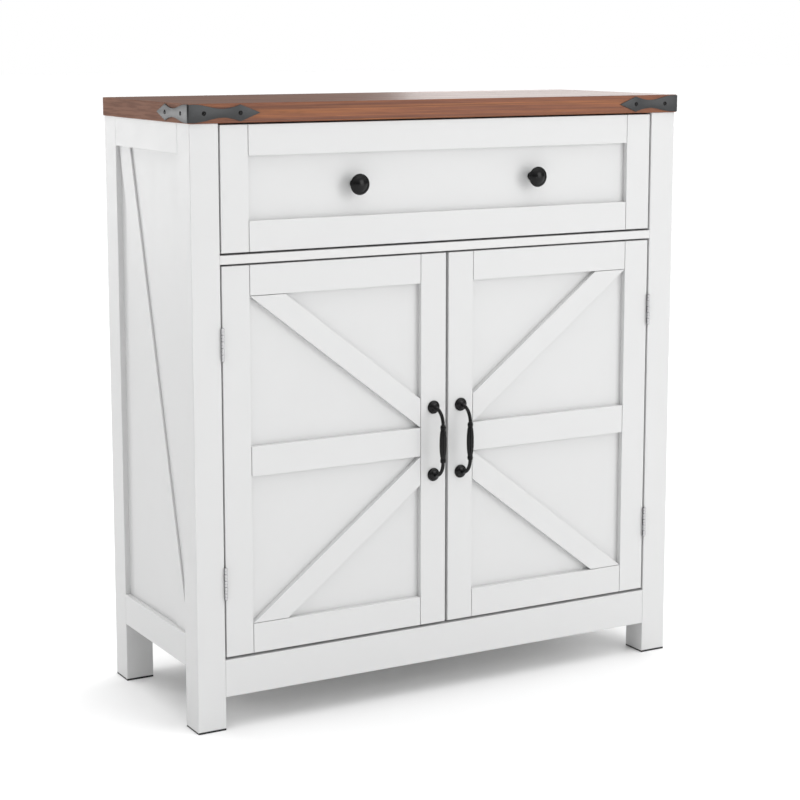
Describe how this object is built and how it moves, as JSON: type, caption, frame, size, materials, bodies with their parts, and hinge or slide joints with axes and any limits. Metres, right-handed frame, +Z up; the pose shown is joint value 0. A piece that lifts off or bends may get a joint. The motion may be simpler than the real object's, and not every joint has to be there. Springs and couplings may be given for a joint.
{
  "type": "sideboard",
  "caption": "Tall narrow sideboard on square legs, with a wood top, a wide drawer over a pair of braced hinged doors, and diagonally braced panel sides.",
  "frame": {"origin": "on the floor, midway across the whole object in X and in Y, pulls included", "axes": "+Z up, +X to the right when facing the front, +Y to the back; the front faces -Y"},
  "size_m": [0.8052, 0.3404, 0.8685],
  "materials": {
    "white_paint": "satin white paint over board",
    "inner_board": "matt white laminate",
    "thin_board": "matt white thin board",
    "walnut_top": "red-brown walnut grain under semi-gloss lacquer",
    "bracket_metal": "satin charcoal",
    "black_metal": "satin black",
    "hinge_steel": "satin nickel",
    "zinc_steel": "zinc plated",
    "foot_plastic": "matt black",
    "catch_plastic": "matt light grey"
  },
  "bodies": {
    "cabinet": {"back_panel": "thin_board", "bottom_panel": "inner_board", "bracket_screws": "black_metal", "cabinet_slides": "zinc_steel", "corner_bracket_left": "bracket_metal", "corner_bracket_right": "bracket_metal", "drawer_deck": "inner_board", "foot_pads": "foot_plastic", "front_apron": "white_paint", "hinge_frame_leaves": "hinge_steel", "hinge_pins": "hinge_steel", "leg_front_left": "white_paint", "leg_front_right": "white_paint", "leg_rear_left": "white_paint", "leg_rear_right": "white_paint", "magnetic_catch": "catch_plastic", "rear_rails": "white_paint", "shelf": "inner_board", "shelf_pegs": "zinc_steel", "side_bottom_rail_left": "white_paint", "side_bottom_rail_right": "white_paint", "side_brace_left": "white_paint", "side_brace_right": "white_paint", "side_panel_left": "white_paint", "side_panel_right": "white_paint", "side_top_rail_left": "white_paint", "side_top_rail_right": "white_paint", "slide_cleats": "inner_board", "tabletop": "walnut_top"},
    "drawer": {"drawer_back": "inner_board", "drawer_bottom": "thin_board", "drawer_front_panel": "white_paint", "drawer_front_rails": "white_paint", "drawer_front_stiles": "white_paint", "drawer_sides": "inner_board", "drawer_slides": "zinc_steel", "knob_screws": "zinc_steel", "knobs": "black_metal"},
    "door_left": {"door_left_bottom_rail": "white_paint", "door_left_braces": "white_paint", "door_left_hinge_leaves": "hinge_steel", "door_left_inner_stile": "white_paint", "door_left_mid_rail": "white_paint", "door_left_outer_stile": "white_paint", "door_left_panel": "white_paint", "door_left_pull": "black_metal", "door_left_pull_screws": "zinc_steel", "door_left_strike_plate": "zinc_steel", "door_left_top_rail": "white_paint"},
    "door_right": {"door_right_bottom_rail": "white_paint", "door_right_braces": "white_paint", "door_right_hinge_leaves": "hinge_steel", "door_right_inner_stile": "white_paint", "door_right_mid_rail": "white_paint", "door_right_outer_stile": "white_paint", "door_right_panel": "white_paint", "door_right_pull": "black_metal", "door_right_pull_screws": "zinc_steel", "door_right_strike_plate": "zinc_steel", "door_right_top_rail": "white_paint"}
  },
  "joints": [
    {"name": "drawer_slide", "type": "slide", "parent": "cabinet", "child": "drawer", "axis": [0, -1, 0], "range_m": [0, 0.19]},
    {"name": "door_left_hinge", "type": "hinge", "parent": "cabinet", "child": "door_left", "pos_m": [-0.35465, -0.1405, 0.377], "axis": [0, 0, -1], "range_deg": [0, 180]},
    {"name": "door_right_hinge", "type": "hinge", "parent": "cabinet", "child": "door_right", "pos_m": [0.35465, -0.1405, 0.377], "axis": [0, 0, 1], "range_deg": [0, 180]}
  ]
}
